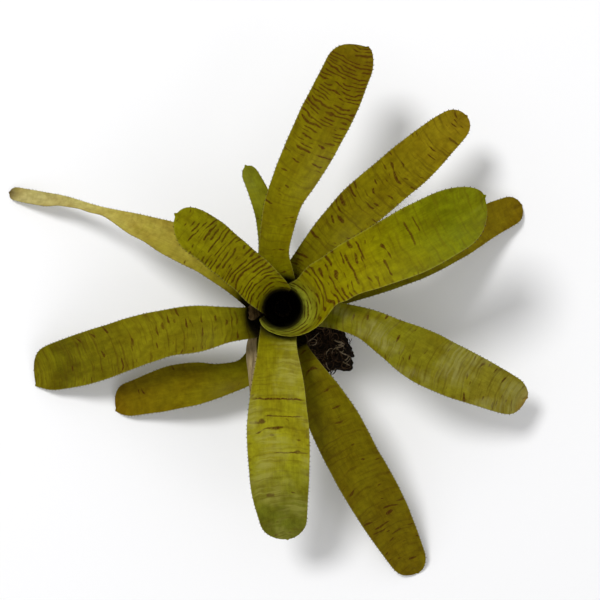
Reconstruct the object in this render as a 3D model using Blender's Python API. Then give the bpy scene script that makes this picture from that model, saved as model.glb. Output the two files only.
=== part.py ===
"""Neoregelia bromeliad, bare-rooted, standing on its root mass and on the tips of its lowest leaves."""
import math
import random

import bmesh
import bpy
import numpy as np
from mathutils import Vector, noise

MM = 0.001

# Sheaths that form the tube
TUBE_RADIUS = 14.0        # middle of the innermost sheath
SHEATH_STEP = 1.75        # each next sheath lies this much further out
BASE_TOP = 44.0           # height where the innermost sheath joins the stem
BASE_STEP = 2.5           # each next sheath joins this much lower
BASE_FLARE = 30.0         # height over which a sheath opens to its full radius
WRAP_LOSS = 10.0          # degrees by which a sheath narrows towards its top
LEAF_THICKNESS = 0.8

# Teeth on the leaf margins
TOOTH_PITCH = 12.0
TOOTH_BASE = 1.5
TOOTH_HEIGHT = 1.0

# Leaf tips
MUCRO_LENGTH = 1.4
MUCRO_WIDTH = 0.9
TIP_ROUND = 0.72          # length of the rounding over the width of the blade

# Stem and roots
STEM_RADIUS_TOP = 5.5
STEM_RADIUS_LOW = 12.0
STEM_BOTTOM = 12.0
ROOT_CENTRE = (19.0, -19.0, 11.0)
ROOT_RADII = (44.0, 25.0, 20.0)
ROOT_TURN = -42.0         # azimuth of the long axis of the root mass
ROOT_FLAT = -0.42         # below this share of its height the core is flat
ROOT_COUNT = 40

GREEN = (0.24, 0.27, 0.02)
OLIVE = (0.21, 0.20, 0.02)
ORANGE = (0.26, 0.17, 0.02)
STRAW = (0.42, 0.33, 0.12)
ROOT_BROWN = (0.05, 0.032, 0.02)
STEM_BROWN = (0.16, 0.11, 0.06)

# Each leaf: order from the tube outwards, azimuth of its sheath, how far the sheath wraps round,
# how far that wrap is turned, the height where it leaves the tube, how far its tip leans and how
# many millimetres it slants to one side, and its blade. The blade is a row of stations (radius,
# azimuth, height, width, channel angle, roll), in millimetres and degrees. Where a blade still wraps
# the tube, a station also has the turn of that wrap and how level its cross-section lies.
LEAVES = {
    "leaf_upper_left_inner": dict(
        order=0, azimuth=134, wrap=140, turn=0, top=117, lean=0.1, slant=-4,
        blade=[(17, 134, 127, 29, 130, 0, -8, 0.8), (25, 134, 138, 32, 112, 0, -6, 0.4),
               (43, 134, 153, 32, 92, 0),
               (63, 135.8, 172, 32, 82, 0), (82, 137.2, 189, 32, 76, 0), (102.3, 137.6, 201, 30, 70, 0)]),
    "leaf_right_inner": dict(
        order=1, azimuth=20, wrap=230, turn=-64, top=106, lean=0.45, slant=3,
        blade=[(18.5, 21, 114.5, 35.5, 222, 0, -62, 1), (23, 23.5, 120.5, 44.2, 196, 0, -54, 0.95),
               (27.5, 26, 127, 46.4, 150, 0, -36, 0.7), (35.5, 28, 133.5, 38, 94, 0, -5, 0.35),
               (50, 29.2, 142, 38, 64, 0), (77, 28.1, 152, 43.5, 44, 0), (111, 27.2, 161, 49.5, 38, 0),
               (144, 27.3, 166, 47, 40, 0), (172.5, 27.0, 171, 42, 46, 0)]),
    "leaf_bottom": dict(
        order=2, azimuth=-96, wrap=124, turn=0, top=104, lean=0.15, slant=0,
        blade=[(26, -97, 119, 28.5, 70, 0), (36, -95, 125, 31, 54, 0), (47, -93.5, 129, 35.5, 44, 0),
               (89, -91.8, 129, 47, 34, 0), (117, -91, 120, 47, 32, 0), (141, -90.6, 107, 44, 30, 0),
               (165, -89.7, 91, 37.5, 30, 0), (185, -89.1, 76, 32, 34, 0)]),
    "leaf_top": dict(
        order=3.5, azimuth=99, wrap=104, turn=0, top=100, lean=-0.75, slant=-1,
        blade=[(27, 99, 119, 27, 80, 0), (44, 97.5, 130, 23, 58, 0), (63, 92.5, 137, 25, 48, 0),
               (82, 88.5, 141, 28, 42, 0), (101, 83.6, 142, 33, 38, 0), (121, 80, 142, 37, 34, 0),
               (142, 77.6, 138, 39, 32, 0), (163, 75.8, 132, 39, 30, 0), (185, 74.7, 124, 37, 30, 0),
               (214, 73.6, 111, 34, 34, 0)]),
    "leaf_lower_right": dict(
        order=4, azimuth=-5, wrap=96, turn=0, top=90, lean=0.5, slant=0,
        blade=[(27, -5, 106, 24, 70, 0), (47, -8.2, 116, 21, 46, 0), (65, -10.6, 117, 24, 38, 0),
               (88, -15.5, 112, 32.5, 32, 0), (113, -18.7, 103, 41, 28, 0), (140, -20.2, 90, 41, 24, 0),
               (169, -20.7, 73, 37, 24, 0), (193, -21.1, 56, 32, 28, 0), (213, -21.2, 42, 26, 34, 0)]),
    "leaf_upper_right": dict(
        order=5, azimuth=61, wrap=92, turn=0, top=88, lean=-0.05, slant=0,
        blade=[(29, 61, 104, 27, 66, 0), (41, 60, 112, 25, 52, 0), (62, 57, 119, 28, 42, 0),
               (94, 52.8, 120, 35, 34, 0), (124, 49.9, 115, 36, 30, 0), (156, 48, 104, 35.5, 28, 0),
               (187, 47.1, 90, 29.5, 28, 0), (212.5, 46.2, 76, 21, 34, 0)]),
    "leaf_dry": dict(
        order=6, azimuth=153, wrap=80, turn=0, top=78, lean=0, slant=0,
        blade=[(37, 150, 99, 22, 60, 0), (54, 147.3, 103, 23.5, 50, 2), (72, 145.8, 104, 28.5, 46, 4),
               (102, 148.3, 97, 27, 46, 10), (120, 149.7, 89, 22, 50, 16), (138, 150.8, 79, 17, 56, 22),
               (153, 151.4, 69, 11, 62, 26), (167, 152.2, 59, 8, 60, 30), (202, 154.4, 33, 10, 44, 18),
               (221, 155.9, 19, 12, 40, 10), (250, 157.3, 1.6, 11, 36, 4)]),
    "leaf_left": dict(
        order=7, azimuth=203, wrap=84, turn=0, top=68, lean=1.1, slant=0,
        blade=[(33, 202, 84, 25, 60, 0), (45, 197, 90, 28, 48, 0), (67, 193.9, 90, 36, 38, 0),
               (91, 192.3, 82, 37, 32, 0), (117, 192.8, 70, 39.5, 28, 0), (143, 193.9, 54, 41.5, 24, 0),
               (171, 194.5, 35, 42, 22, 0), (194, 194.6, 18, 38.5, 22, 0), (218, 194.8, 2.4, 33, 24, 0)]),
    "leaf_right_lower": dict(
        order=8, azimuth=18, wrap=80, turn=0, top=62, lean=0.1, slant=0,
        blade=[(36, 18, 79, 27, 56, 0), (50, 19, 87, 27, 46, 0), (75, 19.5, 88, 30, 38, 0),
               (109, 20.1, 77, 33, 32, 0), (146, 21.4, 55, 32, 28, 0), (187, 22.9, 24, 27, 26, 0),
               (218.5, 23.1, 1.9, 22, 24, 0)]),
    "leaf_bottom_right": dict(
        order=9, azimuth=-71, wrap=58, turn=-9, top=60, lean=0.3, slant=0,
        blade=[(37, -73, 80, 21, 52, 0), (52, -70.6, 91, 27.5, 44, 0), (87, -66, 92, 38, 34, 0),
               (138, -64.8, 72, 42, 28, 0), (173, -64.0, 52, 42, 26, 0), (206, -63.7, 30, 37, 24, 0),
               (250.5, -63.5, 1.9, 25, 24, 0)]),
    "leaf_small": dict(
        order=10, azimuth=102, wrap=70, turn=0, top=62, lean=0.2, slant=0,
        blade=[(38, 102, 82, 24, 56, 0), (52, 99.4, 92, 20, 46, 0), (70, 99, 97, 18.5, 42, -6),
               (88, 100.8, 98, 16.5, 44, -12), (116, 104.3, 94, 12, 50, -18)]),
    "leaf_lower_left": dict(
        order=11, azimuth=-108, wrap=64, turn=0, top=24, lean=0.9, slant=0,
        blade=[(40, -113, 36, 24, 48, 0), (60, -120, 43, 22, 42, 0), (78, -130.9, 44, 27, 36, 0),
               (91, -137.8, 41, 34, 32, 0), (106, -142.8, 35, 36, 28, 0), (122, -145.8, 27, 34.5, 26, 0),
               (140, -148.1, 16, 30, 24, 0), (164, -150.5, 2.1, 25, 24, 0)]),
}

# Columns of faces across each leaf, and its colour
LOOKS = {
    "leaf_upper_left_inner": (6, GREEN),
    "leaf_right_inner": (10, GREEN),
    "leaf_bottom": (6, GREEN),
    "leaf_top": (4, GREEN),
    "leaf_lower_right": (4, OLIVE),
    "leaf_upper_right": (4, OLIVE),
    "leaf_dry": (4, STRAW),
    "leaf_left": (4, OLIVE),
    "leaf_right_lower": (4, ORANGE),
    "leaf_bottom_right": (4, OLIVE),
    "leaf_small": (4, GREEN),
    "leaf_lower_left": (4, ORANGE),
}


def stem_radius(z):
    share = min(max((z - STEM_BOTTOM) / (BASE_TOP + 4.0 - STEM_BOTTOM), 0.0), 1.0)
    return STEM_RADIUS_LOW + (STEM_RADIUS_TOP - STEM_RADIUS_LOW) * share


def polar(radius, azimuth, z):
    angle = math.radians(azimuth)
    return Vector((radius * math.cos(angle), radius * math.sin(angle), z))


def leaf_stations(leaf):
    """Stations from the foot of the sheath to the tip: place, width, channel, turn, roll."""
    order = leaf["order"]
    radius = TUBE_RADIUS + SHEATH_STEP * order
    foot = BASE_TOP - BASE_STEP * order
    foot_radius = stem_radius(foot) + 1.3
    rows = []
    for share in (0.0, 0.18, 0.45, 1.0):
        z = foot + BASE_FLARE * share
        r = foot_radius + (radius - foot_radius) * math.sin(0.5 * math.pi * share)
        if z < leaf["top"]:
            wrap = leaf["wrap"]
            arc = math.radians(wrap) * r
            rows.append((polar(r, leaf["azimuth"], z), arc, wrap, leaf["turn"], 0.0, 1.0))
    rise = leaf["top"] - foot - BASE_FLARE
    if rise > 14.0:
        for share in (0.5, 1.0):
            z = foot + BASE_FLARE + rise * share
            wrap = leaf["wrap"] - WRAP_LOSS * share
            arc = math.radians(wrap) * radius
            rows.append((polar(radius, leaf["azimuth"], z), arc, wrap, leaf["turn"], 0.0, 1.0))
    for r, azimuth, z, width, channel, roll, *exit_values in leaf["blade"]:
        half = math.radians(channel) / 2.0
        arc = width * half / math.sin(half)
        turn, level = exit_values or (0.0, 0.0)
        rows.append((polar(r, azimuth, z), arc, channel, turn, roll, level))
    return rows


def hermite(knots, values, x):
    """Smooth curve through the values; its slopes are averages of the neighbouring slopes."""
    i = int(np.searchsorted(knots, x, side="right")) - 1
    i = min(max(i, 0), len(knots) - 2)
    h = knots[i + 1] - knots[i]
    u = (x - knots[i]) / h

    def slope(j):
        if j == 0:
            return (values[1] - values[0]) / (knots[1] - knots[0])
        if j == len(knots) - 1:
            return (values[-1] - values[-2]) / (knots[-1] - knots[-2])
        h0 = knots[j] - knots[j - 1]
        h1 = knots[j + 1] - knots[j]
        d0 = (values[j] - values[j - 1]) / h0
        d1 = (values[j + 1] - values[j]) / h1
        return (d0 * h1 + d1 * h0) / (h0 + h1)

    a = values[i]
    b = values[i + 1]
    m0 = slope(i) * h
    m1 = slope(i + 1) * h
    return ((2 * u**3 - 3 * u**2 + 1) * a + (u**3 - 2 * u**2 + u) * m0
            + (3 * u**2 - 2 * u**3) * b + (u**3 - u**2) * m1)


class LeafShape:
    """The curved sheet of one leaf: a spine, an arc across it, and the outline of its tip."""

    def __init__(self, leaf):
        rows = leaf_stations(leaf)
        knots = [0.0]
        for (a, *_), (b, *_) in zip(rows, rows[1:]):
            knots.append(knots[-1] + (b - a).length)
        self.knots = np.array(knots)
        self.places = np.array([tuple(row[0]) for row in rows])
        self.extras = np.array([row[1:] for row in rows])
        self.length = knots[-1]
        self.lean = leaf["lean"]
        self.slant = leaf["slant"]
        self.tip_width = rows[-1][1]

    def spine(self, x):
        return Vector(hermite(self.knots, self.places, x))

    def outline(self, x, width):
        """Half-round end with a small point on the midline."""
        left = self.length - x
        rounding = max(TIP_ROUND * self.tip_width, 4.0)
        body = min(max(left - MUCRO_LENGTH, 0.0) / rounding, 1.0)
        end = width * (1.0 - (1.0 - body) ** 2.2) ** 0.5
        point = MUCRO_WIDTH + (3.6 - MUCRO_WIDTH) * min(left / (MUCRO_LENGTH * 1.4), 1.0)
        return max(end, point)

    def frame(self, x):
        step = 1.2
        a = self.spine(max(x - step, 0.0))
        b = self.spine(min(x + step, self.length))
        place = self.spine(x)
        along = (b - a).normalized()
        out = Vector((place.x, place.y, 0.0)).normalized()
        heading = Vector((along.x, along.y, 0.0)) + 0.18 * out
        side = Vector((0.0, 0.0, 1.0)).cross(heading).normalized()
        side = (side - side.dot(along) * along).normalized()
        up = along.cross(side)
        width, channel, turn, roll, level = hermite(self.knots, self.extras, x)
        level = min(max(level, 0.0), 1.0)
        angle = math.radians(roll)
        rolled = side * math.cos(angle) + up * math.sin(angle)
        raised = up * math.cos(angle) - side * math.sin(angle)
        raised = (raised * (1.0 - level) - out * level).normalized()
        return place, along, rolled, raised, width, math.radians(channel), math.radians(turn)

    def point(self, x, t):
        """Middle of the sheet at x along the leaf and t from -1 to 1 across it, and its normal."""
        place, along, side, up, width, channel, turn = self.frame(x)
        rho = width / channel
        share = self.outline(x, width) / width
        a = 0.5 * channel * (share * t + self.lean * (1.0 - share) ** 1.5 * 0.6) + turn * share
        spot = place + side * (rho * math.sin(a)) + up * (rho * (1.0 - math.cos(a)))
        tip = min(max((x - self.length + 24.0) / 24.0, 0.0), 1.0)
        spot = spot + along * (self.slant * t * tip * tip * share)
        normal = up * math.cos(a) - side * math.sin(a)
        across = side * math.cos(a) + up * math.sin(a)
        return spot, normal, across, along


def row_places(shape, start):
    """Places along the leaf where a row of vertices lies, and which pairs carry a tooth."""
    rows = [start * k / 8.0 for k in range(8)]
    teeth = []
    rounding = max(TIP_ROUND * shape.tip_width, 4.0)
    end = shape.length - MUCRO_LENGTH - rounding * 0.9
    x = start
    while x < end:
        teeth.append(len(rows))
        rows += [x, x + TOOTH_BASE]
        x += TOOTH_PITCH
    if end + 0.12 * rounding - rows[-1] > 5.0:
        rows.append(0.5 * (rows[-1] + end + 0.12 * rounding))
    for share in (0.72, 0.46, 0.25, 0.1, 0.02):
        rows.append(shape.length - MUCRO_LENGTH - rounding * share)
    rows.append(shape.length)
    return rows, teeth


def finish(name, verts, faces, colour, roughness=0.5):
    mesh = bpy.data.meshes.new(name)
    mesh.from_pydata([tuple(v * MM) for v in verts], [], faces)
    mesh.validate()
    mesh.update()
    mesh.shade_smooth()
    mesh.set_sharp_from_angle(angle=math.radians(50))
    thing = bpy.data.objects.new(name, mesh)
    bpy.context.scene.collection.objects.link(thing)
    material = bpy.data.materials.new(name)
    material.use_nodes = True
    shader = material.node_tree.nodes["Principled BSDF"]
    shader.inputs["Base Color"].default_value = (*colour, 1.0)
    shader.inputs["Roughness"].default_value = roughness
    shader.inputs["Metallic"].default_value = 0.0
    mesh.materials.append(material)
    return thing


def build_leaf(name, leaf):
    shape = LeafShape(leaf)
    columns, colour = LOOKS[name]
    first_blade = shape.knots[len(shape.knots) - len(leaf["blade"])]
    rows, teeth = row_places(shape, first_blade)
    verts = []
    for x in rows:
        near_tip = min((shape.length - x) / 12.0, 1.0)
        half = 0.5 * LEAF_THICKNESS * (0.8 + 0.2 * near_tip)
        for face in (1.0, -1.0):
            for c in range(columns + 1):
                spot, normal, across, along = shape.point(x, 2.0 * c / columns - 1.0)
                verts.append(spot + normal * (half * face))
    stride = 2 * (columns + 1)
    faces = []
    for i in range(len(rows) - 1):
        for c in range(columns):
            a = i * stride + c
            b = a + stride
            if (i + c) % 2 == 0:
                faces += [(a, b, b + 1), (a, b + 1, a + 1)]
                a += columns + 1
                b += columns + 1
                faces += [(a, b + 1, b), (a, a + 1, b + 1)]
            else:
                faces += [(a, b, a + 1), (b, b + 1, a + 1)]
                a += columns + 1
                b += columns + 1
                faces += [(a, a + 1, b), (b, a + 1, b + 1)]
        for edge, flip in ((0, False), (columns, True)):
            a = i * stride + edge
            b = a + stride
            ring = [a, a + columns + 1, b + columns + 1, b]
            if flip:
                ring.reverse()
            if i in teeth:
                middle = 0.5 * (rows[i] + rows[i + 1])
                spot, normal, across, along = shape.point(middle, 1.0 if flip else -1.0)
                outwards = across if flip else -across
                verts.append(spot + outwards * TOOTH_HEIGHT + along * 0.5)
                apex = -1
                for j in range(4):
                    faces.append((ring[j], ring[(j + 1) % 4], apex))
            else:
                faces += [(ring[0], ring[1], ring[2]), (ring[0], ring[2], ring[3])]
            if i in teeth:
                tooth = len(verts) - 1
                faces[-4:] = [tuple(tooth if v == -1 else v for v in face) for face in faces[-4:]]
    end = (len(rows) - 1) * stride
    for c in range(columns):
        low = columns + 1
        faces += [(c, c + 1, c + 1 + low), (c, c + 1 + low, c + low)]
        faces += [(end + c, end + c + 1 + low, end + c + 1), (end + c, end + c + low, end + c + 1 + low)]
    # Teeth were appended after the grid, so the grid's indices hold.
    return finish(name, verts, faces, colour)


def build_ribbon(name, stations, columns, thickness, colour, ragged, seed):
    """A dry strip: stations are (place, half direction across, normal, half width)."""
    draw = random.Random(seed)
    verts = []
    count = len(stations)
    for place, across, normal, half_width in stations:
        for face in (1.0, -1.0):
            for c in range(columns + 1):
                t = 2.0 * c / columns - 1.0
                rib = 0.35 * math.cos(t * math.pi * 2.0)
                verts.append(place + across * (half_width * t) + normal * (rib + 0.5 * thickness * face))
    stride = 2 * (columns + 1)
    for c in range(columns + 1):
        reach = ragged * draw.uniform(-0.5, 1.0)
        direction = (stations[-1][0] - stations[-2][0]).normalized()
        verts[(count - 1) * stride + c] += direction * reach
        verts[(count - 1) * stride + columns + 1 + c] += direction * reach
    faces = []
    for i in range(count - 1):
        for c in range(columns):
            a = i * stride + c
            b = a + stride
            faces += [(a, b, b + 1), (a, b + 1, a + 1)]
            a += columns + 1
            b += columns + 1
            faces += [(a, b + 1, b), (a, a + 1, b + 1)]
        for edge, flip in ((0, False), (columns, True)):
            a = i * stride + edge
            b = a + stride
            ring = [a, a + columns + 1, b + columns + 1, b]
            if flip:
                ring.reverse()
            faces += [(ring[0], ring[1], ring[2]), (ring[0], ring[2], ring[3])]
    end = (count - 1) * stride
    low = columns + 1
    for c in range(columns):
        faces += [(c, c + 1, c + 1 + low), (c, c + 1 + low, c + low)]
        faces += [(end + c, end + c + 1 + low, end + c + 1), (end + c, end + c + low, end + c + 1 + low)]
    return finish(name, verts, faces, colour, 0.75)


def build_dry_strap():
    """The old leaf base that hangs down the left of the tube and over the lowest leaf."""
    path = [(-20.2, -18.3, 61, 2.4), (-22.8, -21.6, 60.5, 2.8), (-24.6, -27, 59.5, 3.6), (-25.2, -34, 58, 4.2),
            (-25, -42, 57, 4.2), (-24.5, -52, 56, 3.4), (-24.3, -61, 54, 2.8), (-24.3, -70, 49, 2.2),
            (-24.3, -76, 43, 1.2)]
    stations = []
    for i, (x, y, z, half) in enumerate(path):
        a = Vector(path[max(i - 1, 0)][:3])
        b = Vector(path[min(i + 1, len(path) - 1)][:3])
        along = (b - a).normalized()
        across = along.cross(Vector((0.0, 0.0, 1.0))).normalized()
        normal = across.cross(along).normalized()
        stations.append((Vector((x, y, z)), -across, normal, half))
    return build_ribbon("dry_leaf_strap", stations, 6, 0.8, STRAW, 3.0, 5)


def build_dry_rim():
    """The brown fibrous shred of an old sheath on the left of the tube."""
    stations = []
    levels = ((78, 15.6, 2.2), (92, 16.0, 2.6), (101, 17.6, 3.6), (109, 20.2, 5.6), (115, 22.4, 6.2),
              (120, 25.0, 4.5))
    for z, radius, half in levels:
        place = polar(radius, 188, z)
        across = Vector((0.0, -1.0, 0.0))
        normal = Vector((1.0, 0.0, 0.0))
        stations.append((place, -across, -normal, half))
    return build_ribbon("dry_sheath_shred", stations, 6, 0.7, STEM_BROWN, 4.0, 9)


def build_stem():
    """Short woody stem with ridges where old leaves sat."""
    heights = []
    z = STEM_BOTTOM
    while z < BASE_TOP + 3.9:
        heights.append(z)
        z += 3.2
    heights.append(BASE_TOP + 4.0)
    sides = 16
    verts = []
    for i, z in enumerate(heights):
        ridge = 0.35 if i % 2 == 0 else -0.35
        radius = stem_radius(z) + ridge
        for k in range(sides):
            verts.append(polar(radius, 360.0 * k / sides, z))
    faces = []
    for i in range(len(heights) - 1):
        for k in range(sides):
            a = i * sides + k
            b = i * sides + (k + 1) % sides
            faces.append((a, b, b + sides, a + sides))
    faces.append(tuple(reversed(range(sides))))
    top = len(verts)
    verts.append(Vector((0.0, 0.0, BASE_TOP + 4.0)))
    end = (len(heights) - 1) * sides
    for k in range(sides):
        faces.append((end + k, end + (k + 1) % sides, top))
    return finish("stem", verts, faces, STEM_BROWN, 0.8)


def root_ceiling(x, y):
    """Highest point that roots may reach, so that they stay below the sheaths."""
    r = math.hypot(x, y)
    if r < 17.0:
        return STEM_BOTTOM - 1.0
    if r < 37.0:
        return STEM_BOTTOM - 1.0 + (r - 17.0) * 0.95
    return 34.0


def root_place(u, v):
    """Point of the root mass at shares u and v of its long and short half-width."""
    angle = math.radians(ROOT_TURN)
    a = ROOT_RADII[0] * u
    b = ROOT_RADII[1] * v
    return (ROOT_CENTRE[0] + a * math.cos(angle) - b * math.sin(angle),
            ROOT_CENTRE[1] + a * math.sin(angle) + b * math.cos(angle))


def build_roots():
    """A matted core with roots standing out of it, on a flat base."""
    draw = random.Random(11)
    mesh = bmesh.new()
    bmesh.ops.create_icosphere(mesh, subdivisions=3, radius=1.0)
    for vert in mesh.verts:
        p = vert.co
        rim = p
        if p.z < ROOT_FLAT:
            rim = Vector((p.x, p.y, 0.0)).normalized() * math.sqrt(1.0 - ROOT_FLAT**2)
            rim.z = ROOT_FLAT
        lump = 1.0 + 0.22 * noise.noise(rim * 2.1 + Vector((3.0, 7.0, 1.0))) + 0.10 * noise.noise(rim * 5.3)
        x, y = root_place(p.x * lump, p.y * lump)
        z = ROOT_CENTRE[2] + ROOT_RADII[2] * p.z * lump
        z = 0.0 if p.z < ROOT_FLAT else max(z, 0.6)
        top = root_ceiling(x, y) - 1.0
        z = z / (1.0 + (z / top) ** 4) ** 0.25
        vert.co = Vector((x, y, z)) * MM
    data = bpy.data.meshes.new("root_mass")
    mesh.to_mesh(data)
    mesh.free()
    core = bpy.data.objects.new("root_mass", data)
    bpy.context.scene.collection.objects.link(core)
    group = bpy.data.collections.new("root_strands")
    bpy.context.scene.collection.children.link(group)
    sides = 4
    steps = 7
    for n in range(ROOT_COUNT):
        angle = math.radians(draw.uniform(-70.0, 45.0) if n % 3 else draw.uniform(0.0, 360.0))
        start = Vector((*root_place(0.62 * math.cos(angle), 0.62 * math.sin(angle)), 10.0))
        angle += math.radians(ROOT_TURN)
        reach = draw.uniform(16.0, 26.0)
        bend = draw.uniform(-3.2, 3.2)
        lift = draw.uniform(-0.2, 1.3)
        radius = draw.uniform(0.8, 1.3)
        line = []
        heading = angle
        place = start.copy()
        for i in range(steps):
            line.append(place.copy())
            heading += bend / steps * 1.6
            climb = lift * math.cos(math.pi * i / (steps - 1.0))
            stride = reach / (steps - 1.0)
            place = place + Vector((math.cos(heading), math.sin(heading), climb)) * stride
            place.z = min(max(place.z, radius + 0.4), root_ceiling(place.x, place.y) - radius - 0.6)
        verts = []
        for i, spot in enumerate(line):
            a = line[max(i - 1, 0)]
            b = line[min(i + 1, steps - 1)]
            along = (b - a).normalized()
            side = along.cross(Vector((0.0, 0.0, 1.0))).normalized()
            up = side.cross(along)
            thin = radius * (1.0 - 0.35 * i / (steps - 1.0))
            for k in range(sides):
                turn = 2.0 * math.pi * k / sides + 0.3 * n
                verts.append((spot + side * (thin * math.cos(turn)) + up * (thin * math.sin(turn))) * MM)
        faces = []
        for i in range(steps - 1):
            for k in range(sides):
                a = i * sides + k
                b = i * sides + (k + 1) % sides
                faces.append((a, a + sides, b + sides, b))
        faces.append(tuple(range(sides)))
        faces.append(tuple(reversed(range((steps - 1) * sides, steps * sides))))
        strand_mesh = bpy.data.meshes.new("strand")
        strand_mesh.from_pydata([tuple(v) for v in verts], [], faces)
        check = bmesh.new()
        check.from_mesh(strand_mesh)
        bmesh.ops.recalc_face_normals(check, faces=check.faces)
        check.to_mesh(strand_mesh)
        check.free()
        strand = bpy.data.objects.new("strand", strand_mesh)
        group.objects.link(strand)
    union = core.modifiers.new("strands", "BOOLEAN")
    union.operation = "UNION"
    union.operand_type = "COLLECTION"
    union.collection = group
    union.solver = "EXACT"
    bpy.context.view_layer.update()
    graph = bpy.context.evaluated_depsgraph_get()
    joined = bpy.data.meshes.new_from_object(core.evaluated_get(graph))
    core.modifiers.clear()
    core.data = joined
    for strand in list(group.objects):
        bpy.data.objects.remove(strand)
    bpy.data.collections.remove(group)
    tidy = bmesh.new()
    tidy.from_mesh(joined)
    bmesh.ops.remove_doubles(tidy, verts=tidy.verts, dist=0.000002)
    bmesh.ops.triangulate(tidy, faces=tidy.faces)
    tidy.to_mesh(joined)
    tidy.free()
    material = bpy.data.materials.new("root_mass")
    material.use_nodes = True
    shader = material.node_tree.nodes["Principled BSDF"]
    shader.inputs["Base Color"].default_value = (*ROOT_BROWN, 1.0)
    shader.inputs["Roughness"].default_value = 0.9
    shader.inputs["Metallic"].default_value = 0.0
    joined.materials.clear()
    joined.materials.append(material)
    return core


for thing in list(bpy.data.objects):
    bpy.data.objects.remove(thing)

for leaf_name, leaf_facts in LEAVES.items():
    build_leaf(leaf_name, leaf_facts)
build_stem()
build_roots()
build_dry_strap()
build_dry_rim()
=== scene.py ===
import math
import random

import bmesh
import bpy
import numpy as np
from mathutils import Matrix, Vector, noise
from mathutils.bvhtree import BVHTree


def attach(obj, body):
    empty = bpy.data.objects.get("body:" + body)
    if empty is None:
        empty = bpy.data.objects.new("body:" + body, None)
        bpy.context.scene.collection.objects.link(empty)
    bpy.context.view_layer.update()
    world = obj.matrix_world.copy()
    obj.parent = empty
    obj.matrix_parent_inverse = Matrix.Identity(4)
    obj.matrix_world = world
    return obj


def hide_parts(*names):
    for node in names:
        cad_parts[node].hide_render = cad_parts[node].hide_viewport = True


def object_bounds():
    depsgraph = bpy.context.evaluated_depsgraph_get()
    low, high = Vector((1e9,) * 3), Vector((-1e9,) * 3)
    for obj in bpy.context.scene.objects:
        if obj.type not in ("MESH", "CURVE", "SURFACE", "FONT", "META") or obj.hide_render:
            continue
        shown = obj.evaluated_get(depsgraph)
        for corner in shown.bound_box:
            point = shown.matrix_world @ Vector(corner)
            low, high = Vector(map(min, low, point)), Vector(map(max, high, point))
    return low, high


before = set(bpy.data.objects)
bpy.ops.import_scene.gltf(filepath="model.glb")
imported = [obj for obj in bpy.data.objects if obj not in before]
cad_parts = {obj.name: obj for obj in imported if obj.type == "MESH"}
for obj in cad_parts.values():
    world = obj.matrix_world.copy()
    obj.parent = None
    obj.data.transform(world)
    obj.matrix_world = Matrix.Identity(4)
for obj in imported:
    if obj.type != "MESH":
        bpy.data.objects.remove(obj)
cad_lo, cad_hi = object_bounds()
cad_box = [[float(v) for v in cad_lo], [float(v) for v in cad_hi]]

# Metres in a millimetre, and centimetres in a millimetre
MM = 0.001
CM = 0.1

UP = Vector((0.0, 0.0, 1.0))
DOWN = Vector((0.0, 0.0, -1.0))

# ------------------------------------------------------------------ form, in millimetres and degrees
TUBE_RADIUS = 14.0
SHEATH_STEP = 1.75
BASE_TOP = 44.0
BASE_STEP = 2.5
BASE_FLARE = 30.0
BASE_CLEARANCE = 1.3
WRAP_LOSS = 10.0
LEAST_RISE = 14.0
MUCRO_LENGTH = 1.4
MUCRO_WIDTH = 0.9
MUCRO_ROOT = 3.6
MUCRO_TAPER = 1.4
TIP_ROUND = 0.72
TIP_ROUND_LEAST = 4.0
TIP_POWER = 2.2
TIP_SKEW_LENGTH = 24.0
STEM_RADIUS_TOP = 5.5
STEM_RADIUS_LOW = 12.0
STEM_BOTTOM = 12.0
STEM_OVERLAP = 4.0
ROOT_CENTRE = (19.0, -19.0, 11.0)
ROOT_RADII = (44.0, 25.0, 20.0)
ROOT_TURN = -42.0
ROOT_FLAT = -0.42

# Half the length over which a leaf's direction is taken, and how much of its heading is outward, so
# that an upright sheath still has one
FRAME_STEP = 1.2
OUTWARD_PULL = 0.18

# Mesh steps along a leaf, steps round its tip, and steps across: more where the wrap is wide
ROW_STEP = 2.0
TIP_STEPS = 14
COLUMNS = 24
WIDE_COLUMNS = 30
WIDE_WRAP = 150

# Thickness of a blade at its margin, how much thicker it is in the middle, and the share left at the
# tip with the length over which it gets thinner
MARGIN_THICKNESS = 0.42
MIDDLE_THICKNESS = 0.62
TIP_THINNING = (0.55, 20.0)

# Waves of the margins: height, length and share of the leaf's own phase; and where they start
WAVES = ((0.45, 7.5, 1.0), (0.3, 4.1, 2.0))
WAVE_START = 30.0

# The crease near the tip: depth, half width, place back from the tip and length
CREASE = (1.1, 1.3, 5.0, 9.0)

# Teeth: pitch, length, width before and after the tooth's centre, half thickness, depth in the margin
TOOTH_PITCH = 3.6
TOOTH_LENGTH = 0.95
TOOTH_HOOK = 0.55
TOOTH_BACK = 0.55
TOOTH_FRONT = 0.65
TOOTH_HALF = 0.22
TOOTH_DEPTH = 0.25

# Spread of their sizes and of the pitch, how far down the sheath they start and where they end
TOOTH_SIZES = (0.75, 1.15)
TOOTH_SPREAD = (0.7, 1.3)
TEETH_BEFORE = 20.0
TEETH_LEFT = 1.5

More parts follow.
